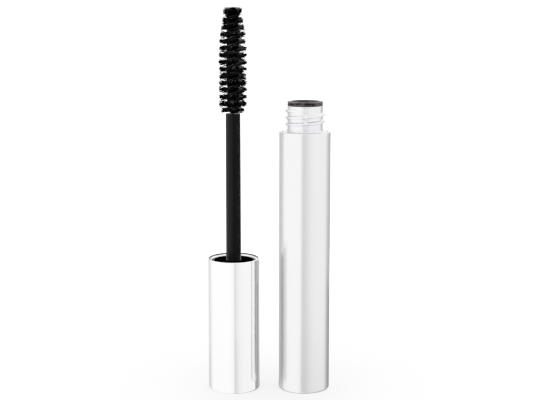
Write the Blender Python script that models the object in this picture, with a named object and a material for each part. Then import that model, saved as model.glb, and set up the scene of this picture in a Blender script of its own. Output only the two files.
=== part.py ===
"""A mascara, open: the tube stands upright, and the applicator stands beside it on the cap's closed end.

Metres, +Z up. The origin is on the floor, midway between the outer sides of the tube and the cap.
Every turned outline below is a list of (radius, height) in millimetres about its own axis.
"""

import math

import bmesh
import bpy

MM = 0.001

# Driving dimensions, in millimetres
TUBE_RADIUS = 8.1
TUBE_HEIGHT = 83.0  # floor to shoulder
NECK_HEIGHT = 9.5  # shoulder to the top of the wiper's flange
NECK_RADIUS = 5.6
CAP_RADIUS = 8.2
CAP_HEIGHT = 42.6
WAND_TOP = 88.6  # where the wand ends and the bare brush begins
BRUSH_TOP = 120.3  # end of the wire
DAB_TOP = 121.4
TUBE_X = 11.3
CAP_X = -11.2

# Screw thread of the neck, right hand, single start
THREAD_PITCH = 2.12
THREAD_CREST = 6.25
THREAD_Z_AT_ZERO_ANGLE = 84.25
THREAD_FIRST_TURN = 0.35
THREAD_LAST_TURN = 2.7
CLOSING_TURNS = 1.75
CLOSING_GAP = 0.2  # cap rim to shoulder when screwed home

# Fits
SLEEVE_WALL = 0.9
VIAL_CLEARANCE = 0.15
SHELL_WALL = 1.35
SHELL_LIP = 0.4  # the wall at the shell's mouth, above the ledge inside it
LEDGE_DEPTH = 0.35
INNER_CAP_CLEARANCE = 0.12
WAND_BASE_RADIUS = 2.42
WAND_TIP_RADIUS = 2.33
NECK_BORE = 4.6

# Twisted wire and bristles
TWIST_PITCH = 4.3
TWIST_START = 81.9  # height where the two legs of the wire begin to twist
STRAND_RADIUS = 0.32
STRAND_CENTRE = 0.38
BRISTLE_ROOT_RADIUS = 0.85
BRISTLE_RADIUS = 4.5
BRISTLE_TIP_RADIUS = 2.7
BRISTLE_ROW_THICKNESS = 1.1

FINE_SEGMENTS = 48
COARSE_SEGMENTS = 32
TWIST_STEPS_PER_TURN = 10

# Heights of the closed applicator: a point at height z on the standing applicator
# comes to height CLOSED_SUM - z on the tube
CLOSED_SUM = TUBE_HEIGHT + CLOSING_GAP + CAP_HEIGHT
TUBE_TOP = TUBE_HEIGHT + NECK_HEIGHT
CLOSING_TRAVEL = THREAD_PITCH * CLOSING_TURNS


def clear_scene():
    for obj in list(bpy.data.objects):
        bpy.data.objects.remove(obj, do_unlink=True)


def material(name, colour, roughness, metallic=0.0):
    made = bpy.data.materials.new(name)
    made.use_nodes = True
    shader = made.node_tree.nodes["Principled BSDF"]
    shader.inputs["Base Color"].default_value = (*colour, 1.0)
    shader.inputs["Roughness"].default_value = roughness
    shader.inputs["Metallic"].default_value = metallic
    return made


def empty(name, x, z=0.0):
    made = bpy.data.objects.new(name, None)
    made.location = (x * MM, 0.0, z * MM)
    made.empty_display_size = 0.01
    bpy.context.scene.collection.objects.link(made)
    return made


def place(name, mesh, parent, look, smooth_angle=35.0):
    mesh.materials.append(look)
    mesh.shade_smooth()
    mesh.set_sharp_from_angle(angle=math.radians(smooth_angle))
    made = bpy.data.objects.new(name, mesh)
    made.parent = parent
    bpy.context.scene.collection.objects.link(made)
    return made


def fillet(centre, radius, start_deg, end_deg, steps=4):
    """Points of a round corner in an outline, about centre, from one angle to the other."""
    points = []
    for i in range(steps + 1):
        angle = math.radians(start_deg + (end_deg - start_deg) * i / steps)
        points.append((centre[0] + radius * math.cos(angle), centre[1] + radius * math.sin(angle)))
    return points


def turned_mesh(name, outline, segments, closed=False):
    """Spins an outline once round Z. An open outline starts and ends on the axis; a closed one is a ring."""
    bm = bmesh.new()
    verts = [bm.verts.new((r * MM, 0.0, z * MM)) for r, z in outline]
    edges = [bm.edges.new(pair) for pair in zip(verts, verts[1:])]
    if closed:
        edges.append(bm.edges.new((verts[-1], verts[0])))
    bmesh.ops.spin(
        bm, geom=verts + edges, cent=(0, 0, 0), axis=(0, 0, 1), angle=math.tau, steps=segments
    )
    bmesh.ops.remove_doubles(bm, verts=bm.verts, dist=1e-6)
    bmesh.ops.recalc_face_normals(bm, faces=bm.faces)
    mesh = bpy.data.meshes.new(name)
    bm.to_mesh(mesh)
    bm.free()
    return mesh


def helical_mesh(name, section, first_turn, last_turn, pitch, z_at_zero, steps_per_turn):
    """Sweeps a section along a right-hand helix. section(turn) gives its four (radius, height) corners."""
    count = round((last_turn - first_turn) * steps_per_turn)
    bm = bmesh.new()
    rings = []
    for i in range(count + 1):
        turn = first_turn + (last_turn - first_turn) * i / count
        angle = turn * math.tau
        centre = z_at_zero + pitch * turn
        ring = [
            bm.verts.new((r * MM * math.cos(angle), r * MM * math.sin(angle), (centre + dz) * MM))
            for r, dz in section(turn)
        ]
        rings.append(ring)
    for low, high in zip(rings, rings[1:]):
        for k in range(4):
            n = (k + 1) % 4
            bm.faces.new((low[k], low[n], high[n], high[k]))
    bm.faces.new(rings[0])
    bm.faces.new(rings[-1])
    bmesh.ops.recalc_face_normals(bm, faces=bm.faces)
    mesh = bpy.data.meshes.new(name)
    bm.to_mesh(mesh)
    bm.free()
    return mesh


def thread_section(root, crest, sunk, root_width, crest_width, first_turn, last_turn):
    """A tapered thread ridge whose height fades in and out over its ends. It is sunk into the wall it grows from."""
    fade_turns = 0.14
    least_height = 0.12
    inward = 1.0 if crest > root else -1.0

    def section(turn):
        from_end = min(turn - first_turn, last_turn - turn)
        share = least_height + (1.0 - least_height) * min(1.0, from_end / fade_turns)
        top = root + (crest - root) * share
        width = root_width + (crest_width - root_width) * share
        return [
            (root - inward * sunk, -root_width / 2),
            (top, -width / 2),
            (top, width / 2),
            (root - inward * sunk, root_width / 2),
        ]

    return section


def union(target, cutter):
    """Grows the cutter onto the target."""
    cutter.hide_render = True
    cutter.display_type = "WIRE"
    joined = target.modifiers.new("thread", "BOOLEAN")
    joined.operation = "UNION"
    joined.solver = "EXACT"
    joined.object = cutter


# ---------------------------------------------------------------- tube


def tube_sleeve(parent, look):
    inside = TUBE_RADIUS - SLEEVE_WALL
    floor = 1.0
    edge = 0.7
    rim = 0.2
    outline = [(0.0, 0.0)]
    outline += fillet((TUBE_RADIUS - edge, edge), edge, -90, 0)
    outline += fillet((TUBE_RADIUS - rim, TUBE_HEIGHT - rim), rim, 0, 90, 2)
    outline += [(inside, TUBE_HEIGHT), (inside, floor), (0.0, floor)]
    place("tube_sleeve", turned_mesh("tube_sleeve", outline, FINE_SEGMENTS), parent, look)


def vial(parent, look):
    outside = TUBE_RADIUS - SLEEVE_WALL - VIAL_CLEARANCE
    inside = 6.05
    underside = 1.2
    floor = 2.3
    neck_rim = TUBE_TOP - 1.4
    outline = [(0.0, underside), (outside - 0.4, underside), (outside, underside + 0.4)]
    outline += [(outside, TUBE_HEIGHT), (NECK_RADIUS + 0.2, TUBE_HEIGHT), (NECK_RADIUS, TUBE_HEIGHT + 0.2)]
    outline += [(NECK_RADIUS, neck_rim - 0.15), (NECK_RADIUS - 0.15, neck_rim), (NECK_BORE, neck_rim)]
    outline += [(NECK_BORE, TUBE_HEIGHT - 0.8), (inside, TUBE_HEIGHT - 2.2)]
    outline += [(inside, floor + 0.4), (inside - 0.4, floor), (0.0, floor)]
    bottle = place("vial", turned_mesh("vial", outline, FINE_SEGMENTS), parent, look)
    section = thread_section(
        NECK_RADIUS, THREAD_CREST, 0.35, 1.15, 0.45, THREAD_FIRST_TURN, THREAD_LAST_TURN
    )
    ridge_mesh = helical_mesh(
        "neck_thread", section, THREAD_FIRST_TURN, THREAD_LAST_TURN, THREAD_PITCH, THREAD_Z_AT_ZERO_ANGLE, 32
    )
    union(bottle, place("neck_thread", ridge_mesh, parent, look))


def wiper(parent, look):
    """The flange sits on the neck's rim. The throat narrows to a lip that strips the wand."""
    flange = NECK_RADIUS
    groove = flange - 0.15
    under = TUBE_TOP - 1.3
    plug = NECK_BORE - 0.1
    throat = 3.9
    lip = 2.45
    outline = [(plug, under), (flange - 0.1, under), (flange, under + 0.1), (flange, under + 0.45)]
    outline += [(groove, under + 0.6), (flange, under + 0.75), (flange, TUBE_TOP - 0.15)]
    outline += [(flange - 0.15, TUBE_TOP), (4.5, TUBE_TOP), (4.2, TUBE_TOP - 0.5), (throat, TUBE_TOP - 1.6)]
    outline += [(throat, TUBE_TOP - 5.4), (lip, TUBE_TOP - 8.2), (lip, TUBE_TOP - 8.6)]
    outline += [(lip + 0.35, TUBE_TOP - 8.8), (plug, TUBE_TOP - 5.9)]
    mesh = turned_mesh("wiper", outline, COARSE_SEGMENTS, closed=True)
    place("wiper", mesh, parent, look)


def mascara_bulk(parent, look):
    """What is left of the fill: a thick lining with the channel that the brush has worn."""
    outside = 5.9
    channel = 4.8
    bottom = 2.45
    top = 62.0
    outline = [(0.0, bottom), (outside - 0.4, bottom), (outside, bottom + 0.4), (outside, top)]
    outline += [(channel + 0.3, top), (channel, top - 1.0), (channel, bottom + 1.0), (0.0, bottom + 1.0)]
    place("mascara_bulk", turned_mesh("mascara_bulk", outline, COARSE_SEGMENTS), parent, look)


# ---------------------------------------------------------------- applicator


def cap_shell(parent, look):
    """Closed end down. At the mouth a thin lip stands above a ledge that slopes into the bore."""
    inside = CAP_RADIUS - SHELL_WALL
    lip = CAP_RADIUS - SHELL_LIP
    ledge = CAP_HEIGHT - LEDGE_DEPTH
    floor = 1.2
    edge = 0.6
    rim = 0.2
    outline = [(0.0, 0.0)]
    outline += fillet((CAP_RADIUS - edge, edge), edge, -90, 0)
    outline += fillet((CAP_RADIUS - rim, CAP_HEIGHT - rim), rim, 0, 90, 2)
    outline += [(lip, CAP_HEIGHT), (lip, ledge), (inside + 0.35, ledge - 0.08), (inside, ledge - 0.3)]
    outline += [(inside, floor), (0.0, floor)]
    place("cap_shell", turned_mesh("cap_shell", outline, FINE_SEGMENTS), parent, look)


def cap_weight(parent, look):
    radius = CAP_RADIUS - SHELL_WALL - 0.3
    bottom = 1.5
    top = 9.5
    outline = [(0.0, bottom), (radius - 0.4, bottom), (radius, bottom + 0.4), (radius, top - 0.4)]
    outline += [(radius - 0.4, top), (0.0, top)]
    place("cap_weight", turned_mesh("cap_weight", outline, COARSE_SEGMENTS), parent, look)


def inner_cap(parent, look):
    """Threaded cup inside the shell, with a blind socket behind its floor that holds the wand."""
    outside = CAP_RADIUS - SHELL_WALL - INNER_CAP_CLEARANCE
    rim = CAP_HEIGHT - 0.75
    bore = 6.33
    floor = CLOSED_SUM - TUBE_TOP - 1.0
    back = floor - 1.4
    boss = 4.2
    socket = 2.75
    socket_end = 22.0
    outline = [(0.0, socket_end - 1.5), (boss, socket_end - 1.5), (boss, back), (outside, back)]
    outline += [(outside, rim), (bore + 0.1, rim), (bore, rim - 0.1), (bore, floor), (socket, floor)]
    outline += [(socket, socket_end), (0.0, socket_end)]
    cup = place("inner_cap", turned_mesh("inner_cap", outline, FINE_SEGMENTS), parent, look)
    # In mesh with the neck: half a pitch from its ridge at every height of the closing turn
    z_at_zero = (CLOSED_SUM + CLOSING_TRAVEL - THREAD_Z_AT_ZERO_ANGLE) % THREAD_PITCH
    thread_start = 37.3
    first_turn = (thread_start - z_at_zero) / THREAD_PITCH
    last_turn = first_turn + 1.4
    section = thread_section(bore, 5.72, 0.2, 0.95, 0.4, first_turn, last_turn)
    ridge_mesh = helical_mesh("cap_thread", section, first_turn, last_turn, THREAD_PITCH, z_at_zero, 32)
    union(cup, place("cap_thread", ridge_mesh, parent, look))


def sealing_liner(parent, look):
    """A soft ring on the wand that meets the wiper's flange before the cap is screwed home."""
    inner = WAND_BASE_RADIUS + 0.12
    outer = 5.5
    bottom = CLOSED_SUM - TUBE_TOP - 0.9 + CLOSING_TRAVEL
    top = bottom + 0.8
    outline = [(inner, bottom), (outer, bottom), (outer, top), (inner, top)]
    mesh = turned_mesh("sealing_liner", outline, COARSE_SEGMENTS, closed=True)
    place("sealing_liner", mesh, parent, look)


def wand(parent, look):
    plug = 2.6
    plug_bottom = 22.4
    plug_top = 31.0
    bore = 0.85
    bore_bottom = WAND_TOP - 9.0
    outline = [(0.0, plug_bottom), (plug - 0.3, plug_bottom), (plug, plug_bottom + 0.3), (plug, plug_top)]
    outline += [(WAND_BASE_RADIUS, plug_top + 0.3), (WAND_TIP_RADIUS, WAND_TOP - 0.4)]
    outline += [(WAND_TIP_RADIUS - 0.35, WAND_TOP), (bore, WAND_TOP), (bore, bore_bottom), (0.0, bore_bottom)]
    place("wand", turned_mesh("wand", outline, COARSE_SEGMENTS), parent, look)


def twist_angle(z):
    """Angle of the first strand at a height. The legs run straight below the twist."""
    return math.tau * max(0.0, z - TWIST_START) / TWIST_PITCH


def wire_core(parent, look):
    """One wire bent double: up one strand of the twist and down the other, with its bend in the wand."""
    bend = WAND_TOP - 8.0
    steps = round((BRUSH_TOP - bend) / TWIST_PITCH * TWIST_STEPS_PER_TURN)
    heights = [BRUSH_TOP + (bend - BRUSH_TOP) * i / steps for i in range(steps + 1)]
    down = []
    for z in heights:
        angle = twist_angle(z)
        down.append((STRAND_CENTRE * math.cos(angle), STRAND_CENTRE * math.sin(angle), z))
    loop = [
        (STRAND_CENTRE * math.cos(a), 0.0, bend - STRAND_CENTRE * math.sin(a))
        for a in (math.radians(d) for d in (36, 72, 108, 144))
    ]
    up = [(-x, -y, z) for x, y, z in reversed(down)]
    route = down + loop + up
    curve = bpy.data.curves.new("wire_core", "CURVE")
    curve.dimensions = "3D"
    curve.bevel_depth = STRAND_RADIUS * MM
    curve.bevel_resolution = 1
    curve.use_fill_caps = True
    spline = curve.splines.new("POLY")
    spline.points.add(len(route) - 1)
    for point, (x, y, z) in zip(spline.points, route):
        point.co = (x * MM, y * MM, z * MM, 1.0)
    curve.materials.append(look)
    made = bpy.data.objects.new("wire_core", curve)
    made.parent = parent
    bpy.context.scene.collection.objects.link(made)


def brush_radius(z):
    """Outline of the trimmed brush: a short swell at the wand, a straight middle and a long taper to the tip."""
    swell = min(1.0, (z - WAND_TOP) / 3.5)
    taper = max(0.0, (z - (BRUSH_TOP - 13.0)) / 13.0)
    start = 3.2
    radius = start + (BRISTLE_RADIUS - start) * math.sin(swell * math.pi / 2)
    return radius - (BRISTLE_RADIUS - BRISTLE_TIP_RADIUS) * taper**1.3


def bristle_row(name, half_turn, parent, look):
    """One start of the double helix of bristles, as a solid of its outer shape."""
    bottom = WAND_TOP + 0.9
    top = BRUSH_TOP - 0.1
    # The bristles stand across the two strands, a quarter turn from them
    z_at_zero = TWIST_START + TWIST_PITCH * (0.25 + half_turn)
    first_turn = (bottom - z_at_zero) / TWIST_PITCH
    last_turn = (top - z_at_zero) / TWIST_PITCH
    half = BRISTLE_ROW_THICKNESS / 2

    def section(turn):
        radius = brush_radius(z_at_zero + TWIST_PITCH * turn)
        return [(BRISTLE_ROOT_RADIUS, -half), (radius, -half), (radius, half), (BRISTLE_ROOT_RADIUS, half)]

    mesh = helical_mesh(name, section, first_turn, last_turn, TWIST_PITCH, z_at_zero, 16)
    place(name, mesh, parent, look)


def tip_dab(parent, look):
    """A dab of mascara on the end of the wire, between the last bristles."""
    radius = 0.75
    bottom = BRUSH_TOP + 0.15
    crown = 0.5
    outline = [(0.0, bottom), (radius - 0.15, bottom), (radius, bottom + 0.15)]
    outline += fillet((radius - crown, DAB_TOP - crown), crown, 0, 90, 3)
    outline += [(0.0, DAB_TOP)]
    place("tip_dab", turned_mesh("tip_dab", outline, 20), parent, look)


def build():
    clear_scene()
    silver = material("satin_silver", (0.78, 0.79, 0.81), 0.3, 1.0)
    chrome = material("chrome", (0.92, 0.92, 0.93), 0.05, 1.0)
    steel = material("steel", (0.5, 0.5, 0.5), 0.4, 1.0)
    black = material("black_plastic", (0.02, 0.02, 0.02), 0.35)
    rubber = material("wiper_rubber", (0.09, 0.085, 0.085), 0.5)
    fibre = material("bristle_fibre", (0.012, 0.011, 0.011), 0.6)
    paste = material("mascara_paste", (0.006, 0.005, 0.006), 0.25)

    tube_axis = empty("tube_axis", TUBE_X)
    tube_sleeve(tube_axis, silver)
    vial(tube_axis, silver)
    wiper(tube_axis, rubber)
    mascara_bulk(tube_axis, paste)

    cap_axis = empty("cap_axis", CAP_X)
    cap_shell(cap_axis, chrome)
    cap_weight(cap_axis, steel)
    inner_cap(cap_axis, black)
    sealing_liner(cap_axis, rubber)
    wand(cap_axis, black)
    wire_core(cap_axis, steel)
    bristle_row("bristle_row_a", 0.0, cap_axis, fibre)
    bristle_row("bristle_row_b", 0.5, cap_axis, fibre)
    tip_dab(cap_axis, paste)


build()
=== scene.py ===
"""Looks of the open mascara: the CAD model is the fixed frame, and each visible part gets its fine surface.

Lengths are in millimetres up to the point where a mesh is made. Places and outer sizes come from the frame.
"""

import math

import bpy
import numpy as np
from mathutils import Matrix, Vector, noise

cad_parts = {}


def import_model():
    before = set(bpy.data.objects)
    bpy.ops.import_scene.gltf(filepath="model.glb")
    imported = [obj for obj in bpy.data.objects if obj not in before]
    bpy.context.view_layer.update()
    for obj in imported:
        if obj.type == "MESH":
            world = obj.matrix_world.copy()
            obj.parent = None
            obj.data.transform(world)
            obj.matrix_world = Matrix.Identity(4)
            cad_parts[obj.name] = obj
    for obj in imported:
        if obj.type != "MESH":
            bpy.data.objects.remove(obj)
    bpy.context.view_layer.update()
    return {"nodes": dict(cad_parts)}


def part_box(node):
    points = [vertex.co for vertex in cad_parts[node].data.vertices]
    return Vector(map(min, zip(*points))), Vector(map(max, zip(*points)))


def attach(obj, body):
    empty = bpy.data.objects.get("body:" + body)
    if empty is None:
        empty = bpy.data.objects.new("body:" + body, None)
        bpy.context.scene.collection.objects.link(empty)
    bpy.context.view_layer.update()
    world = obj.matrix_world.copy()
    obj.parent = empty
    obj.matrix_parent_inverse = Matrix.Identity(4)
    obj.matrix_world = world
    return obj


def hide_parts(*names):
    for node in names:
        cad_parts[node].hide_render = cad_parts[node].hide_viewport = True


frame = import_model()

MM = 0.001
TAU = math.tau


def span(node):
    """Centre x, radius, lowest and highest point of a round CAD node, in millimetres."""
    low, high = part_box(node)
    return (low.x + high.x) / 2 / MM, (high.x - low.x) / 2 / MM, low.z / MM, high.z / MM


TUBE_X, TUBE_RADIUS, _, SHOULDER = span("tube_sleeve")
_, VIAL_RADIUS, VIAL_BOTTOM, NECK_RIM = span("vial")
_, FLANGE_RADIUS, _, TUBE_TOP = span("wiper")
CAP_X, CAP_RADIUS, _, CAP_RIM = span("cap_shell")
_, INNER_CAP_RADIUS, INNER_CAP_BOTTOM, INNER_CAP_RIM = span("inner_cap")
_, _, WAND_BOTTOM, WAND_TOP = span("wand")
_, BRUSH_RADIUS, _, _ = span("bristle_row_a")
_, _, _, WIRE_TOP = span("wire_core")
_, DAB_RADIUS, DAB_BOTTOM, DAB_TOP = span("tip_dab")

# Walls, bores and threads, as the CAD has them
SLEEVE_BORE = 7.2
NECK_RADIUS = 5.6
NECK_BORE = 4.6
VIAL_BORE = 6.05
SHELL_BORE = 6.85
SHELL_LIP = 0.4
LEDGE_DEPTH = 0.35
INNER_CAP_BORE = 6.33
WAND_BASE_RADIUS = 2.42
WAND_TIP_RADIUS = 2.33
THREAD_PITCH = 2.12
# z_at_zero is the ridge's height where turn 0 starts, and the ridge runs from turn first to turn last
NECK_THREAD = {"crest": 6.25, "z_at_zero": 84.25, "first": 0.35, "last": 2.7}
CAP_THREAD = {"crest": 5.72, "z_at_zero": 0.74, "first": 17.25, "last": 18.65}
TWIST_PITCH = 4.3
TWIST_START = 81.9
STRAND_RADIUS = 0.32
STRAND_CENTRE = 0.38


# ---------------------------------------------------------------- outlines and meshes


def arc(centre, radius, start_deg, end_deg, steps):
    """Points of a round corner in an outline."""
    angles = np.radians(np.linspace(start_deg, end_deg, steps + 1))
    return [(centre[0] + radius * math.cos(a), centre[1] + radius * math.sin(a)) for a in angles]


def held(outline):
    """The outline with points close to the ends of each long straight stretch, to keep its shading flat."""
    close = 0.05
    long_stretch = 0.5
    points = [outline[0]]
    for (r0, z0), (r1, z1) in zip(outline, outline[1:]):
        length = math.hypot(r1 - r0, z1 - z0)
        if length > long_stretch:
            share = close / length
            points += [(r0 + (r1 - r0) * t, z0 + (z1 - z0) * t) for t in (share, 1 - share)]
        points.append((r1, z1))
    return points


def new_piece(name, verts, faces, look, sharp_deg=40.0):
    """A smooth-shaded object. verts are in metres, and edges over sharp_deg stay sharp."""
    mesh = bpy.data.meshes.new(name)
    mesh.from_pydata([tuple(v) for v in verts], [], faces)
    mesh.validate()
    mesh.materials.append(look)
    mesh.shade_smooth()
    mesh.set_sharp_from_angle(angle=math.radians(sharp_deg))
    piece = bpy.data.objects.new(name, mesh)
    bpy.context.scene.collection.objects.link(piece)
    return piece


def turned(name, axis_x, outline, look, segments, closed=False, relief=None, sharp_deg=40.0):
    """Spins an outline round the vertical line at axis_x.

    An open outline starts and ends on the axis, runs up the outside and comes down the inside.
    relief(angle, r, z) gives the radius that a point is moved to.
    """
    rings = len(outline)
    angles = np.arange(segments) * TAU / segments
    verts = []
    index = []
    for r, z in outline:
        on_axis = r < 1e-9
        row = []
        for a in angles[: 1 if on_axis else segments]:
            radius = relief(a, r, z) if relief and not on_axis else r
            row.append(len(verts))
            verts.append(((axis_x + radius * math.cos(a)) * MM, radius * math.sin(a) * MM, z * MM))
        index.append(row if not on_axis else row * segments)
    faces = []
    for i in range(rings if closed else rings - 1):
        low, high = index[i], index[(i + 1) % rings]
        for k in range(segments):
            n = (k + 1) % segments
            corners = [low[k], low[n], high[n], high[k]]
            faces.append([c for j, c in enumerate(corners) if c != corners[j - 1]])
    return new_piece(name, verts, faces, look, sharp_deg)


def ridge_share(angle, z, thread, root_width, crest_width):
    """How high the thread's ridge stands at a point: 0 between the ridges, 1 on the crest."""
    fade = 0.16  # of a turn, at both ends of the ridge
    part_turn = angle / TAU
    turn = part_turn + round((z - thread["z_at_zero"]) / THREAD_PITCH - part_turn)
    from_end = min(turn - thread["first"], thread["last"] - turn)
    if from_end <= 0:
        return 0.0
    off = z - thread["z_at_zero"] - THREAD_PITCH * turn
    slope = (root_width - crest_width) / 2
    # The flank that carries the load, below, is the steeper one
    steepness = 0.75 if off > 0 else 1.7
    share = min(1.0, max(0.0, steepness * (root_width / 2 - abs(off)) / slope))
    ends = min(1.0, from_end / fade)
    return smooth(share) * smooth(ends)


def smooth(t):
    t = min(1.0, max(0.0, t))
    return t * t * (3 - 2 * t)


def swept(path, radii, sides):
    """Verts and faces of a closed tube along a path of (x, y, z) points, with a radius for each point."""
    path = np.asarray(path, float)
    count = len(path)
    tangents = np.gradient(path, axis=0)
    tangents /= np.linalg.norm(tangents, axis=1)[:, None]
    side = np.cross(tangents[0], (0.0, 0.0, 1.0) if abs(tangents[0][2]) < 0.9 else (1.0, 0.0, 0.0))
    verts = []
    for p, t, radius in zip(path, tangents, radii):
        side = side - t * np.dot(side, t)
        side /= np.linalg.norm(side)
        up = np.cross(t, side)
        for k in range(sides):
            a = TAU * k / sides
            verts.append(p + radius * (math.cos(a) * side + math.sin(a) * up))
    faces = []
    for i in range(count - 1):
        for k in range(sides):
            n = (k + 1) % sides
            a, b = i * sides, (i + 1) * sides
            faces.append([a + k, a + n, b + n, b + k])
    faces.append(list(range(sides))[::-1])
    faces.append([(count - 1) * sides + k for k in range(sides)])
    return verts, faces


# ---------------------------------------------------------------- materials


def shader(name, colour, roughness, metallic=0.0, specular=0.5):
    made = bpy.data.materials.new(name)
    made.use_nodes = True
    bsdf = made.node_tree.nodes["Principled BSDF"]
    bsdf.inputs["Base Color"].default_value = (*colour, 1.0)
    bsdf.inputs["Roughness"].default_value = roughness
    bsdf.inputs["Metallic"].default_value = metallic
    bsdf.inputs["Specular IOR Level"].default_value = specular
    return made


def noise_of(look, scale_per_mm, detail=3.0, stretch=(1.0, 1.0, 1.0)):
    """A noise texture in the object's own space. stretch lengthens it along each axis."""
    nodes, links = look.node_tree.nodes, look.node_tree.links
    coordinates = nodes.new("ShaderNodeTexCoord")
    mapping = nodes.new("ShaderNodeMapping")
    mapping.inputs["Scale"].default_value = tuple(scale_per_mm / MM / s for s in stretch)
    texture = nodes.new("ShaderNodeTexNoise")
    texture.inputs["Scale"].default_value = 1.0
    texture.inputs["Detail"].default_value = detail
    links.new(coordinates.outputs["Object"], mapping.inputs["Vector"])
    links.new(mapping.outputs["Vector"], texture.inputs["Vector"])
    return texture.outputs["Fac"]


def ranged(look, value, low, high, from_low=0.3, from_high=0.7):
    node = look.node_tree.nodes.new("ShaderNodeMapRange")
    node.inputs["From Min"].default_value = from_low
    node.inputs["From Max"].default_value = from_high
    node.inputs["To Min"].default_value = low
    node.inputs["To Max"].default_value = high
    look.node_tree.links.new(value, node.inputs["Value"])
    return node.outputs["Result"]


def vary_roughness(look, value, low, high):
    bsdf = look.node_tree.nodes["Principled BSDF"]
    look.node_tree.links.new(ranged(look, value, low, high), bsdf.inputs["Roughness"])


def vary_colour(look, value, dark, light, from_low=0.3, from_high=0.7):
    nodes, links = look.node_tree.nodes, look.node_tree.links
    mix = nodes.new("ShaderNodeMix")
    mix.data_type = "RGBA"
    mix.inputs["A"].default_value = (*dark, 1.0)
    mix.inputs["B"].default_value = (*light, 1.0)
    links.new(ranged(look, value, 0.0, 1.0, from_low, from_high), mix.inputs["Factor"])
    links.new(mix.outputs["Result"], nodes["Principled BSDF"].inputs["Base Color"])


def add_bump(look, value, height_mm, strength):
    nodes, links = look.node_tree.nodes, look.node_tree.links
    bump = nodes.new("ShaderNodeBump")
    bump.inputs["Strength"].default_value = strength
    bump.inputs["Distance"].default_value = height_mm * MM
    links.new(value, bump.inputs["Height"])
    links.new(bump.outputs["Normal"], nodes["Principled BSDF"].inputs["Normal"])


def satin_silver():
    """Silver lacquer over a metallised base: fine flake, and faint handling marks in its gloss."""
    look = shader("satin_silver", (0.78, 0.78, 0.785), 0.3, metallic=1.0)
    vary_colour(look, noise_of(look, 4.0, detail=2.0), (0.772, 0.772, 0.777), (0.79, 0.79, 0.795))
    vary_roughness(look, noise_of(look, 0.1, detail=1.0, stretch=(1, 1, 3)), 0.27, 0.31)
    return look


def neck_silver():
    """The same silver on the moulded neck, where it lies thinner over the plastic."""
    look = shader("neck_silver", (0.80, 0.80, 0.81), 0.34, metallic=1.0)
    vary_colour(look, noise_of(look, 5.0, detail=3.0), (0.76, 0.76, 0.775), (0.83, 0.83, 0.84))
    vary_roughness(look, noise_of(look, 0.5, detail=4.0), 0.28, 0.38)
    add_bump(look, noise_of(look, 3.0, detail=3.0), 0.004, 0.4)
    return look


def chrome():
    """Bright plating, with a very faint haze and hairline wipe marks."""
    look = shader("cap_chrome", (0.95, 0.952, 0.955), 0.03, metallic=1.0)
    vary_roughness(look, noise_of(look, 0.15, detail=6.0, stretch=(1, 1, 2.5)), 0.02, 0.055)
    add_bump(look, noise_of(look, 0.05, detail=1.0), 0.0006, 0.3)
    return look


def black_plastic(name, smoothest, roughest):
    """Moulded black plastic, with flow marks along the moulding direction."""
    look = shader(name, (0.005, 0.005, 0.005), smoothest, specular=0.36)
    flow = noise_of(look, 1.6, detail=4.0, stretch=(1, 1, 14))
    vary_roughness(look, flow, smoothest, roughest)
    add_bump(look, flow, 0.004, 0.25)
    return look


def wiper_rubber():
    """Soft grey-brown plastic, stained by mascara."""
    look = shader("wiper_rubber", (0.06, 0.055, 0.055), 0.25)
    stain = noise_of(look, 0.45, detail=4.0, stretch=(1, 1, 0.5))
    vary_colour(look, stain, (0.012, 0.007, 0.007), (0.085, 0.068, 0.068), 0.4, 0.6)
    vary_roughness(look, noise_of(look, 1.2), 0.16, 0.36)
    return look


def liner_foam():
    look = shader("liner_foam", (0.05, 0.05, 0.05), 0.7, specular=0.3)
    grain = noise_of(look, 6.0, detail=3.0)
    vary_colour(look, grain, (0.03, 0.03, 0.03), (0.075, 0.075, 0.075))
    add_bump(look, grain, 0.03, 0.6)
    return look


def nylon_fibre():
    """Black nylon, dulled by dried mascara."""
    look = shader("nylon_fibre", (0.003, 0.0027, 0.0027), 0.5, specular=0.16)
    coat = noise_of(look, 1.1, detail=2.0)
    vary_colour(look, coat, (0.001, 0.001, 0.001), (0.005, 0.0045, 0.0045))
    vary_roughness(look, coat, 0.38, 0.62)
    return look


def mascara_paste():
    """Thick black paste: a little wet sheen on smooth lumps."""
    look = shader("mascara_paste", (0.001, 0.0008, 0.0009), 0.4, specular=0.12)
    lumps = noise_of(look, 2.2, detail=4.0)
    vary_roughness(look, lumps, 0.3, 0.6)
    add_bump(look, lumps, 0.03, 0.4)
    return look


def drawn_wire():
    look = shader("drawn_wire", (0.2, 0.2, 0.2), 0.35, metallic=1.0)
    coat = noise_of(look, 1.5, detail=3.0)
    vary_colour(look, coat, (0.02, 0.018, 0.018), (0.32, 0.31, 0.31))
    vary_roughness(look, coat, 0.25, 0.5)
    return look


def turned_steel():
    look = shader("turned_steel", (0.45, 0.45, 0.46), 0.35, metallic=1.0)
    lay = noise_of(look, 4.0, detail=2.0, stretch=(30, 30, 0.4))
    vary_roughness(look, lay, 0.25, 0.5)
    add_bump(look, lay, 0.01, 0.5)
    return look


# ---------------------------------------------------------------- tube


def tube_sleeve(look):
    edge = 0.7
    rim = 0.2
    floor = 1.0
    outline = [(0.0, 0.0)] + arc((TUBE_RADIUS - edge, edge), edge, -90, 0, 9)
    outline += arc((TUBE_RADIUS - rim, SHOULDER - rim), rim, 0, 90, 5)
    outline += arc((SLEEVE_BORE + 0.08, SHOULDER - 0.08), 0.08, 90, 180, 3)
    outline += [(SLEEVE_BORE, floor), (0.0, floor)]
    piece = turned("tube_sleeve_fine", TUBE_X, held(outline), look, segments=160)
    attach(piece, "tube")
    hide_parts("tube_sleeve")


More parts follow.
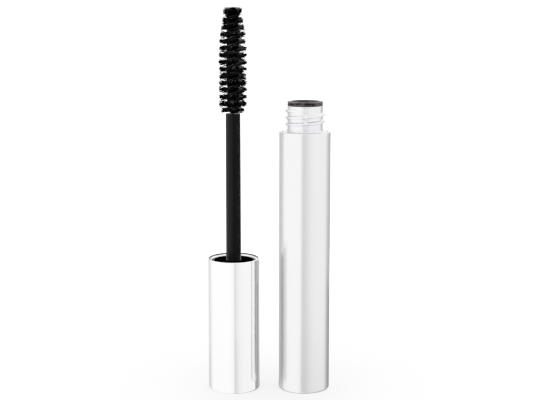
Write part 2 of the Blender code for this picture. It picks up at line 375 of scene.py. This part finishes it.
def vial(look):
    """Bottle with its neck. The thread is a relief on the neck's wall, broken at the mould's seam."""
    floor = 2.3
    foot = 0.7
    neck_start = SHOULDER + 0.3
    neck_end = NECK_RIM - 0.15
    rows = 96
    ridge_root, ridge_crest = 1.25, 0.4
    seam_angle = TAU * 0.75
    seam_height, seam_width = 0.05, 0.09
    break_depth, break_width = 0.75, 0.32
    outline = [(0.0, VIAL_BOTTOM)]
    outline += arc((VIAL_RADIUS - 0.4, VIAL_BOTTOM + 0.4), 0.4, -90, 0, 4)
    outline += arc((VIAL_RADIUS - 0.06, SHOULDER - 0.06), 0.06, 0, 90, 2)
    outline += arc((NECK_RADIUS + 0.3, neck_start), 0.3, 270, 180, 5)
    step = (neck_end - neck_start) / rows
    outline += [(NECK_RADIUS, neck_start + step * (i + 1)) for i in range(rows)]
    outline += arc((NECK_RADIUS - 0.15, neck_end), 0.15, 0, 90, 4)[1:]
    outline += [(NECK_BORE, NECK_RIM), (NECK_BORE, SHOULDER - 0.8), (VIAL_BORE, SHOULDER - 2.2)]
    outline += [(VIAL_BORE, floor + foot), (VIAL_BORE - foot, floor), (0.0, floor)]

    def relief(angle, r, z):
        if abs(r - NECK_RADIUS) > 0.01 or z < neck_start:
            return r
        share = ridge_share(angle, z, NECK_THREAD, ridge_root, ridge_crest)
        from_seam = abs((angle - seam_angle + math.pi) % TAU - math.pi) * NECK_RADIUS
        cut = break_depth * math.exp(-((from_seam / break_width) ** 2))
        line = seam_height * math.exp(-((from_seam / seam_width) ** 2))
        return r + (NECK_THREAD["crest"] - r) * share * (1 - cut) + line

    piece = turned("vial_fine", TUBE_X, held(outline), look, segments=192, relief=relief)
    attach(piece, "tube")
    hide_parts("vial")


def wiper(look):
    flange = FLANGE_RADIUS
    under = TUBE_TOP - 1.3
    plug = NECK_BORE - 0.1
    throat = 3.9
    lip = 2.45
    top = TUBE_TOP - 0.12
    rim = 0.2
    outline = [(plug, under), (flange - 0.14, under)]
    outline += arc((flange - 0.14, under + 0.14), 0.14, -90, 0, 4)
    outline += arc((flange - 0.14, under + 0.3), 0.14, 0, 80, 4)
    outline += [(flange - 0.24, under + 0.47), (flange - 0.24, under + 0.58)]
    outline += arc((flange - rim, under + 0.8), rim, -80, 0, 4)
    outline += arc((flange - rim, top - rim), rim, 0, 90, 6)
    outline += arc((4.7, top - 0.2), 0.2, 90, 160, 4)
    outline += [(4.3, TUBE_TOP - 0.55), (throat, TUBE_TOP - 1.6), (throat, TUBE_TOP - 5.4)]
    outline += [(lip, TUBE_TOP - 8.2), (lip, TUBE_TOP - 8.6), (lip + 0.35, TUBE_TOP - 8.8)]
    outline += [(plug, TUBE_TOP - 5.9)]
    piece = turned("wiper_fine", TUBE_X, held(outline), look, segments=96, closed=True)
    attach(piece, "tube")
    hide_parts("wiper")


def lumpy(seed, reach_mm, height_mm):
    """A relief of soft lumps. reach_mm is the size of a lump, height_mm how far it stands out or in."""

    def relief(angle, r, z):
        place = Vector((r * math.cos(angle), r * math.sin(angle), z)) / reach_mm
        return r + height_mm * noise.noise(place + Vector((seed, 0.0, 0.0)))

    return relief


def mascara_in_vial(look):
    """What lines the vial, with the channel the brush has worn."""
    outside = 5.85
    channel = 4.85
    bottom = 2.45
    top = 61.6
    channel_top = top - 0.5
    channel_bottom = bottom + 1.2
    rows = 40
    outline = [(0.0, bottom), (outside - 0.4, bottom), (outside, bottom + 0.4), (outside, top)]
    outline += arc((5.35, top), 0.4, 20, 180, 6)
    outline += [(channel, z) for z in np.linspace(channel_top, channel_bottom, rows + 1)]
    outline += [(0.0, bottom + 1.0)]
    soft = lumpy(3.0, 2.5, 0.25)

    def relief(angle, r, z):
        return soft(angle, r, z) if r < outside - 0.3 and z > bottom + 1.1 else r

    piece = turned("mascara_in_vial", TUBE_X, outline, look, segments=64, relief=relief)
    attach(piece, "tube")
    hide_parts("mascara_bulk")


def smear_in_wiper(look):
    """Mascara wiped off into the funnel, as a thin uneven skin on its wall."""
    rows = 14
    top = TUBE_TOP - 0.75
    bottom = TUBE_TOP - 5.0
    throat = 3.84
    throat_top = TUBE_TOP - 1.6
    flare = 0.3 / (top - throat_top)
    thickness = 0.28
    wall = [(throat + flare * max(0.0, z - throat_top), z) for z in np.linspace(bottom, top, rows)]
    skin = [(r - thickness, z) for r, z in wall]
    outline = wall + skin[::-1]
    soft = lumpy(11.0, 1.3, 0.22)

    def relief(angle, r, z):
        inner = any(abs(r - s) < 1e-6 and abs(z - h) < 1e-6 for s, h in skin)
        return soft(angle, r, z) if inner else r

    piece = turned("smear_in_wiper", TUBE_X, outline, look, segments=72, closed=True, relief=relief)
    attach(piece, "tube")


# ---------------------------------------------------------------- applicator


def unmirrored(piece):
    """Keeps a black piece out of the other pieces' gloss, because the satin tube shows no image of it."""
    piece.visible_glossy = False


def cap_shell(look):
    edge = 0.6
    rim = 0.2
    floor = 1.2
    outline = [(0.0, 0.0)] + arc((CAP_RADIUS - edge, edge), edge, -90, 0, 9)
    outline += arc((CAP_RADIUS - rim, CAP_RIM - rim), rim, 0, 90, 5)
    lip = CAP_RADIUS - SHELL_LIP
    ledge = CAP_RIM - LEDGE_DEPTH
    outline += arc((lip + 0.06, CAP_RIM - 0.06), 0.06, 90, 180, 3)
    outline += [(lip, ledge + 0.02), (lip - 0.05, ledge - 0.01)]
    outline += arc((SHELL_BORE + 0.3, ledge - 0.36), 0.3, 80, 180, 6)
    outline += [(SHELL_BORE, floor), (0.0, floor)]
    piece = turned("cap_shell_fine", CAP_X, held(outline), look, segments=160)
    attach(piece, "applicator")
    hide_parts("cap_shell")


def lip_lining(look):
    """Unplated strip round the inside of the shell's lip."""
    lip = CAP_RADIUS - SHELL_LIP
    ledge = CAP_RIM - LEDGE_DEPTH
    inside = lip - 0.22
    outline = [(lip, ledge - 0.02), (lip, CAP_RIM - 0.05), (inside, CAP_RIM - 0.09), (inside, ledge - 0.03)]
    piece = turned("lip_lining", CAP_X, outline, look, segments=160, closed=True)
    unmirrored(piece)
    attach(piece, "applicator")


def inner_cap(look):
    """Black cup with the inside thread, and the socket that holds the wand."""
    floor = 31.9
    back = 30.5
    boss = 4.2
    socket = 2.75
    socket_end = 22.0
    rows = 76
    ridge_root, ridge_crest = 1.05, 0.35
    bore_top = INNER_CAP_RIM - 0.2
    outline = [(0.0, INNER_CAP_BOTTOM), (boss, INNER_CAP_BOTTOM), (boss, back), (INNER_CAP_RADIUS, back)]
    outline += arc((INNER_CAP_RADIUS - 0.08, INNER_CAP_RIM - 0.08), 0.08, 0, 90, 2)
    outline += arc((INNER_CAP_BORE + 0.12, bore_top + 0.08), 0.12, 90, 180, 3)
    step = (bore_top - floor - 0.2) / rows
    outline += [(INNER_CAP_BORE, bore_top - step * i) for i in range(rows + 1)]
    outline += [(INNER_CAP_BORE - 0.2, floor), (socket, floor), (socket, socket_end), (0.0, socket_end)]

    def relief(angle, r, z):
        if abs(r - INNER_CAP_BORE) > 0.01:
            return r
        return r + (CAP_THREAD["crest"] - r) * ridge_share(angle, z, CAP_THREAD, ridge_root, ridge_crest)

    piece = turned("inner_cap_fine", CAP_X, held(outline), look, segments=160, relief=relief)
    unmirrored(piece)
    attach(piece, "applicator")
    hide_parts("inner_cap")


def wand(look):
    plug = 2.6
    plug_top = 31.0
    bore = 0.85
    bore_bottom = WAND_TOP - 9.0
    chamfer = 0.32
    rows = 12
    outline = [(0.0, WAND_BOTTOM), (plug - 0.3, WAND_BOTTOM), (plug, WAND_BOTTOM + 0.3), (plug, plug_top)]
    narrowing = (WAND_TIP_RADIUS - WAND_BASE_RADIUS) / (WAND_TOP - plug_top)
    heights = np.linspace(plug_top + 0.3, WAND_TOP - chamfer, rows)
    outline += [(WAND_BASE_RADIUS + narrowing * (z - plug_top), z) for z in heights]
    outline += arc((WAND_TIP_RADIUS - chamfer, WAND_TOP - chamfer), chamfer, 0, 90, 5)[1:]
    outline += [(bore, WAND_TOP), (bore, bore_bottom), (0.0, bore_bottom)]
    piece = turned("wand_fine", CAP_X, held(outline), look, segments=96)
    unmirrored(piece)
    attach(piece, "applicator")
    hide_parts("wand")


# ---------------------------------------------------------------- brush


def twist_angle(z):
    """Angle of the first strand at a height. The legs run straight below the twist."""
    return TAU * max(0.0, z - TWIST_START) / TWIST_PITCH


def fibre_angle(z):
    """The bristles stand across the two strands."""
    return twist_angle(z) + TAU / 4


def brush_radius(z):
    """The trimmed outline: a short swell above the wand, a straight middle, then a taper to a blunt tip."""
    foot_radius = 3.1
    taper_start = 107.0
    tip_loss = 1.65
    swell = smooth((z - WAND_TOP + 0.8) / 3.4)
    taper = max(0.0, (z - taper_start) / (WIRE_TOP - taper_start))
    return foot_radius + (BRUSH_RADIUS - foot_radius) * swell - tip_loss * taper**1.35


def dryness(angle):
    """How dry the brush is: the paste lies thick on one side, and the fibres stand apart on the other."""
    return smooth(0.5 - 0.6 * math.cos(angle - 0.3))


def wire_twist(look):
    bend = 80.6
    steps = 150
    down = []
    for z in np.linspace(WIRE_TOP, bend, steps):
        a = twist_angle(z)
        down.append((STRAND_CENTRE * math.cos(a), STRAND_CENTRE * math.sin(a), z))
    loop = [
        (STRAND_CENTRE * math.cos(a), 0.0, bend - STRAND_CENTRE * math.sin(a))
        for a in np.linspace(0, math.pi, 9)[1:-1]
    ]
    path = down + loop + [(-x, -y, z) for x, y, z in reversed(down)]
    verts, faces = swept(path, [STRAND_RADIUS] * len(path), 8)
    verts = [((CAP_X + v[0]) * MM, v[1] * MM, v[2] * MM) for v in verts]
    piece = new_piece("wire_twist", verts, faces, look)
    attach(piece, "applicator")
    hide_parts("wire_core")


def bristles(look):
    """Nylon fibres through the twisted wire. Each passes between the strands and stands out on both sides.

    Dried mascara draws them into clumps, whose tips lean together. The last ones flare upwards.
    """
    rng = np.random.default_rng(20)
    fibres = 2300
    clump_height = 0.26
    sides = 4
    points_per_half = 4
    first = WAND_TOP + 0.35
    last = WIRE_TOP + 0.1
    flare_start = 118.6
    root = 0.12
    clumps = int((last - first) / clump_height) + 2
    clump_lean = rng.normal(0, 0.2, (clumps, 2))
    clump_turn = rng.normal(0, 0.10, (clumps, 2))
    clump_length = rng.normal(1.0, 0.025, (clumps, 2))
    clump_pull = rng.uniform(0.1, 0.6, (clumps, 2))
    all_verts = []
    all_faces = []
    for i in range(fibres):
        z = first + (last - first) * (i + rng.uniform(-0.5, 0.5)) / fibres
        clump = min(clumps - 1, max(0, int((z - first) / clump_height)))
        clump_z = first + (clump + 0.5) * clump_height
        halves = []
        for half in (0, 1):
            apart = dryness(fibre_angle(z) + math.pi * half)
            pull = clump_pull[clump, half] * (1 - 0.6 * apart)
            angle = fibre_angle(z) + math.pi * half + rng.normal(0, 0.26 + 0.16 * apart)
            toward = fibre_angle(clump_z) + math.pi * half + clump_turn[clump, half]
            length = brush_radius(z) * clump_length[clump, half] * rng.uniform(0.94, 1.02)
            rise = rng.normal(0, 0.28 + 0.14 * apart) + clump_lean[clump, half]
            rise += 0.8 * max(0.0, (z - flare_start) / 1.2)
            bow = rng.normal(0, 0.10)
            half_points = []
            for t in np.linspace(0.0, 1.0, points_per_half + 1)[1:]:
                grow = t * t
                a = angle + (toward - angle) * pull * grow + bow * (t - grow)
                h = z + (clump_z - z) * pull * grow * 0.8 + rise * grow
                radius = root + (length - root) * t
                half_points.append((radius * math.cos(a), radius * math.sin(a), h))
            halves.append(half_points)
        path = halves[1][::-1] + [(0.0, 0.0, z)] + halves[0]
        thickness = rng.uniform(0.045, 0.062)
        taper = np.abs(np.linspace(-1, 1, len(path)))
        radii = thickness * (1.0 + 0.25 * rng.uniform(-1, 1, len(path))) * (1.15 - 0.35 * taper**3)
        verts, faces = swept(path, radii, sides)
        base = len(all_verts)
        all_verts += [((CAP_X + v[0]) * MM, v[1] * MM, min(v[2], DAB_TOP) * MM) for v in verts]
        all_faces += [[base + k for k in face] for face in faces]
    piece = new_piece("bristle_fibres", all_verts, all_faces, look, sharp_deg=80)
    unmirrored(piece)
    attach(piece, "applicator")
    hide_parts("bristle_row_a", "bristle_row_b")


def paste_on_core(look):
    """Mascara among the bristles: a lumpy body round the wire, with a ragged web along each of the rows.

    The webs reach furthest near the tip, where most of it stays.
    """
    rows = 340
    core = 0.9
    thick_from = 106.0
    top = WIRE_TOP + 0.35
    bottom = WAND_TOP + 0.1
    heights = np.linspace(bottom, top, rows)
    outline = [(0.0, bottom)] + [(1.0, z) for z in heights] + [(0.0, top + 0.1)]
    soft = lumpy(27.0, 0.8, 1.0)
    fine = lumpy(5.0, 0.3, 1.0)
    ragged = lumpy(41.0, 1.1, 1.0)

    def relief(angle, r, z):
        row = math.cos(angle - fibre_angle(z)) ** 2
        near_tip = smooth((z - thick_from) / 9.0)
        apart = dryness(angle)
        ends = smooth((z - bottom) / 0.9) * (0.6 + 0.4 * smooth((top - z) / 0.5))
        body = 1.85 + 0.3 * (soft(angle, 1.0, z) - 1.0) + 0.1 * (fine(angle, 1.0, z) - 1.0)
        share = 0.8 + 0.1 * near_tip - 0.16 * apart + 0.35 * (ragged(angle, 1.0, z) - 1.0)
        web = max(0.0, brush_radius(z) * min(0.95, share) - body)
        narrow = 2.2 + 1.8 * apart * (1 - near_tip)
        return core + (body - core + web * row**narrow) * ends

    piece = turned("paste_on_core", CAP_X, outline, look, segments=96, relief=relief, sharp_deg=80)
    unmirrored(piece)
    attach(piece, "applicator")


def tip_dab(look):
    """Soft blunt drop on the brush's tip."""
    rows = 14
    radius = DAB_RADIUS * 1.1
    middle = (DAB_TOP + DAB_BOTTOM) / 2
    half = (DAB_TOP - DAB_BOTTOM) / 2
    outline = [
        (radius * math.cos(a), middle + half * math.sin(a))
        for a in np.linspace(-math.pi / 2, math.pi / 2, rows)
    ]
    outline[0] = (0.0, outline[0][1])
    outline[-1] = (0.0, outline[-1][1])
    piece = turned("tip_dab_soft", CAP_X, outline, look, segments=32, relief=lumpy(8.0, 0.5, 0.18))
    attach(piece, "dab")
    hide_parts("tip_dab")


# ---------------------------------------------------------------- studio

# Brightness of the room to the left and right of the pieces, above the horizon, and as the camera sees it
LEFT_SIDE = 1.42
RIGHT_SIDE = 1.15
UPPER_ROOM = 1.25
BACKDROP = 1.45


def floor():
    """Pale table that glows as painted light, less near the pieces, which paints a soft shade round them.
    Gloss looks through it at the studio, a little dimmed close by as painted shade.
    """
    half = 3000 * MM
    painted_gloss_shade_within = 130 * MM
    painted_glow_full_from = 140 * MM
    verts = [(-half, -half, 0), (half, -half, 0), (half, half, 0), (-half, half, 0)]
    look = shader("pale_floor", (0.86, 0.86, 0.86), 0.6, specular=0.1)
    vary_colour(look, noise_of(look, 0.01), (0.855, 0.855, 0.855), (0.865, 0.865, 0.865))
    nodes, links = look.node_tree.nodes, look.node_tree.links
    path = nodes.new("ShaderNodeLightPath")
    # Painted shade: gloss that passes through the floor close to the pieces is dimmed
    dimmed = nodes.new("ShaderNodeMapRange")
    dimmed.interpolation_type = "SMOOTHSTEP"
    dimmed.inputs["From Max"].default_value = painted_gloss_shade_within
    dimmed.inputs["To Min"].default_value = 0.94
    links.new(path.outputs["Ray Length"], dimmed.inputs["Value"])
    place = nodes.new("ShaderNodeTexCoord")
    reach = nodes.new("ShaderNodeVectorMath")
    reach.operation = "LENGTH"
    links.new(place.outputs["Object"], reach.inputs[0])
    # Painted light: the floor glows, weaker near the pieces, as a painted soft shade round them
    glow = nodes.new("ShaderNodeMapRange")
    glow.interpolation_type = "SMOOTHSTEP"
    glow.inputs["From Max"].default_value = painted_glow_full_from
    glow.inputs["To Min"].default_value = 0.22
    glow.inputs["To Max"].default_value = 0.75
    links.new(reach.outputs["Value"], glow.inputs["Value"])
    nodes["Principled BSDF"].inputs["Emission Color"].default_value = (1.0, 1.0, 1.0, 1.0)
    links.new(glow.outputs["Result"], nodes["Principled BSDF"].inputs["Emission Strength"])
    clear = nodes.new("ShaderNodeBsdfTransparent")
    links.new(dimmed.outputs["Result"], clear.inputs["Color"])
    mix = nodes.new("ShaderNodeMixShader")
    links.new(path.outputs["Is Glossy Ray"], mix.inputs["Fac"])
    links.new(nodes["Principled BSDF"].outputs["BSDF"], mix.inputs[1])
    links.new(clear.outputs["BSDF"], mix.inputs[2])
    links.new(mix.outputs["Shader"], nodes["Material Output"].inputs["Surface"])
    new_piece("floor", verts, [[0, 1, 2, 3]], look)


def ramp_of(tree, value, stops):
    """A colour ramp of grey levels. stops are (place from 0 to 1, level)."""
    node = tree.nodes.new("ShaderNodeValToRGB")
    tree.links.new(value, node.inputs["Fac"])
    elements = node.color_ramp.elements
    while len(elements) < len(stops):
        elements.new(0.5)
    for element, (place, level) in zip(elements, stops):
        element.position = place
        element.color = (level, level, level, 1.0)
    return node.outputs["Color"]


def seen_in_gloss_only(panel):
    for kind in ("camera", "diffuse", "transmission", "volume_scatter", "shadow"):
        setattr(panel, "visible_" + kind, False)


def painted_reflection_disc():
    """A pale disc that glows only in gloss, so the satin tube shows a painted reflection of pale where the
    cap's black mouth would be.
    """
    steps = 48
    radius = SHELL_BORE - 0.1
    brightness = 0.95
    points = [(CAP_X + x, y, INNER_CAP_RIM) for x, y in arc((0.0, 0.0), radius, 0, 360, steps)[:-1]]
    verts = [(x * MM, y * MM, z * MM) for x, y, z in points]
    made = shader("painted_reflection_disc", (0.0, 0.0, 0.0), 1.0, specular=0.0)
    # Painted reflection: the disc's glow stands in for the cap's mouth in the tube's gloss
    bsdf = made.node_tree.nodes["Principled BSDF"]
    bsdf.inputs["Emission Color"].default_value = (1.0, 1.0, 1.0, 1.0)
    bsdf.inputs["Emission Strength"].default_value = brightness
    seen_in_gloss_only(new_piece("painted_reflection_disc", verts, [list(range(steps))], made))


def card(name, left, right, y, high, stops):
    """An upright reflector that only gloss sees. stops are its brightness from left to right."""
    low = -90.0
    verts = [(x * MM, y * MM, z * MM) for x, z in ((left, low), (right, low), (right, high), (left, high))]
    made = bpy.data.materials.new(name)
    made.use_nodes = True
    tree = made.node_tree
    tree.nodes.clear()
    place = tree.nodes.new("ShaderNodeTexCoord")
    parts = tree.nodes.new("ShaderNodeSeparateXYZ")
    tree.links.new(place.outputs["Object"], parts.inputs["Vector"])
    across = tree.nodes.new("ShaderNodeMapRange")
    across.inputs["From Min"].default_value = left * MM
    across.inputs["From Max"].default_value = right * MM
    tree.links.new(parts.outputs["X"], across.inputs["Value"])
    glow = tree.nodes.new("ShaderNodeEmission")
    tree.links.new(ramp_of(tree, across.outputs["Result"], stops), glow.inputs["Color"])
    output = tree.nodes.new("ShaderNodeOutputMaterial")
    tree.links.new(glow.outputs["Emission"], output.inputs["Surface"])
    seen_in_gloss_only(new_piece(name, verts, [[0, 1, 2, 3]], made))


def world():
    """A white room whose walls differ a little all round, as softboxes with gaps between them do."""
    made = bpy.data.worlds.new("studio")
    bpy.context.scene.world = made
    made.use_nodes = True
    tree = made.node_tree
    nodes, links = tree.nodes, tree.links
    nodes.clear()
    direction = nodes.new("ShaderNodeTexCoord")
    parts = nodes.new("ShaderNodeSeparateXYZ")
    links.new(direction.outputs["Generated"], parts.inputs["Vector"])
    towards_front = nodes.new("ShaderNodeMath")
    towards_front.operation = "MULTIPLY"
    towards_front.inputs[1].default_value = -1.0
    links.new(parts.outputs["Y"], towards_front.inputs[0])
    azimuth = nodes.new("ShaderNodeMath")
    azimuth.operation = "ARCTAN2"
    links.new(parts.outputs["X"], azimuth.inputs[0])
    links.new(towards_front.outputs["Value"], azimuth.inputs[1])
    turn = nodes.new("ShaderNodeMapRange")
    turn.inputs["From Min"].default_value = -math.pi
    turn.inputs["From Max"].default_value = math.pi
    links.new(azimuth.outputs["Value"], turn.inputs["Value"])
    # Degrees from the front, positive to the right, and how bright the room is there
    walls = [(-180, 0.3), (-171, 0.3), (-162, 0.66), (-134, 0.80), (-118, LEFT_SIDE), (-14, LEFT_SIDE)]
    walls += [(0, RIGHT_SIDE), (108, RIGHT_SIDE), (124, 0.72), (150, 0.66), (162, 0.62), (171, 0.3)]
    walls += [(180, 0.3)]
    stops = [(degrees / 360 + 0.5, level) for degrees, level in walls]
    above = nodes.new("ShaderNodeMapRange")
    above.inputs["From Min"].default_value = -0.03
    above.inputs["From Max"].default_value = 0.06
    links.new(parts.outputs["Z"], above.inputs["Value"])
    room = nodes.new("ShaderNodeMix")
    room.data_type = "RGBA"
    room.inputs["B"].default_value = (UPPER_ROOM, UPPER_ROOM, UPPER_ROOM, 1.0)
    links.new(above.outputs["Result"], room.inputs["Factor"])
    links.new(ramp_of(tree, turn.outputs["Result"], stops), room.inputs["A"])
    lit = nodes.new("ShaderNodeBackground")
    links.new(room.outputs["Result"], lit.inputs["Color"])
    seen = nodes.new("ShaderNodeBackground")
    seen.inputs["Color"].default_value = (1.0, 1.0, 1.0, 1.0)
    seen.inputs["Strength"].default_value = BACKDROP
    path = nodes.new("ShaderNodeLightPath")
    either = nodes.new("ShaderNodeMixShader")
    links.new(path.outputs["Is Camera Ray"], either.inputs["Fac"])
    links.new(lit.outputs["Background"], either.inputs[1])
    links.new(seen.outputs["Background"], either.inputs[2])
    output = nodes.new("ShaderNodeOutputWorld")
    links.new(either.outputs["Shader"], output.inputs["Surface"])


def exposure():
    """High-key print: deep blacks, and a soft shoulder that keeps the whites apart."""
    white = 2.0
    tones = [(0.0, 0.0), (0.02, 0.0012), (0.04, 0.011), (0.06, 0.034), (0.1, 0.08), (0.3, 0.26)]
    tones += [(0.55, 0.47), (0.73, 0.64), (0.88, 0.83), (1.01, 0.905), (1.2, 0.945), (1.33, 0.985)]
    tones += [(BACKDROP, 1.0), (white, 1.0)]
    view = bpy.context.scene.view_settings
    view.view_transform = "Standard"
    view.use_curve_mapping = True
    mapping = view.curve_mapping
    mapping.white_level = (white, white, white)
    curve = mapping.curves[3]
    while len(curve.points) < len(tones):
        curve.points.new(0.5, 0.5)
    for point, (light, tone) in zip(curve.points, tones):
        point.location = (light / white, tone)
        point.handle_type = "VECTOR"
    mapping.update()


def camera():
    """Looks slightly down on the open mascara from the front, from a little above the height of its tip."""
    down_deg = 9.65
    data = bpy.data.cameras.new("camera")
    data.sensor_width = 36.0
    data.lens = 84.4
    data.clip_start = 0.01
    made = bpy.data.objects.new("camera", data)
    made.location = (-0.00075, -0.3889, 0.1273)  # metres
    made.rotation_euler = (math.radians(90 - down_deg), 0.0, 0.0)
    bpy.context.scene.collection.objects.link(made)
    bpy.context.scene.camera = made


# ---------------------------------------------------------------- all of it

camera()
world()
exposure()
floor()
# How bright each reflector is, from its left edge (0) to its right edge (1)
front_stops = [(0.0, 0.85), (0.12, 0.86), (0.3, 0.96), (0.55, 1.06), (1.0, RIGHT_SIDE)]
back_stops = [(0.0, 1.25), (0.3, 1.0), (0.6, 0.84), (0.86, 0.88), (0.94, 0.7), (1.0, 0.6)]
card("front_card", left=-8.8, right=62.0, y=-70.0, high=125.0, stops=front_stops)
card("back_card", left=-110.0, right=-8.0, y=30.0, high=125.0, stops=back_stops)
card("low_card", left=24.0, right=80.0, y=30.0, high=24.0, stops=[(0.0, 0.4), (1.0, 0.6)])
painted_reflection_disc()

silver = satin_silver()
plating = chrome()
paste = mascara_paste()

tube_sleeve(silver)
vial(neck_silver())
wiper(wiper_rubber())
mascara_in_vial(paste)
smear_in_wiper(paste)

cap_shell(plating)
lip_lining(black_plastic("lip_black", 0.3, 0.4))
inner_cap(black_plastic("inner_cap_black", 0.16, 0.3))
wand(black_plastic("wand_black", 0.3, 0.4))
wire_twist(drawn_wire())
bristles(nylon_fibre())
paste_on_core(paste)
tip_dab(paste)

frame["nodes"]["sealing_liner"].material_slots[0].material = liner_foam()
frame["nodes"]["cap_weight"].material_slots[0].material = turned_steel()
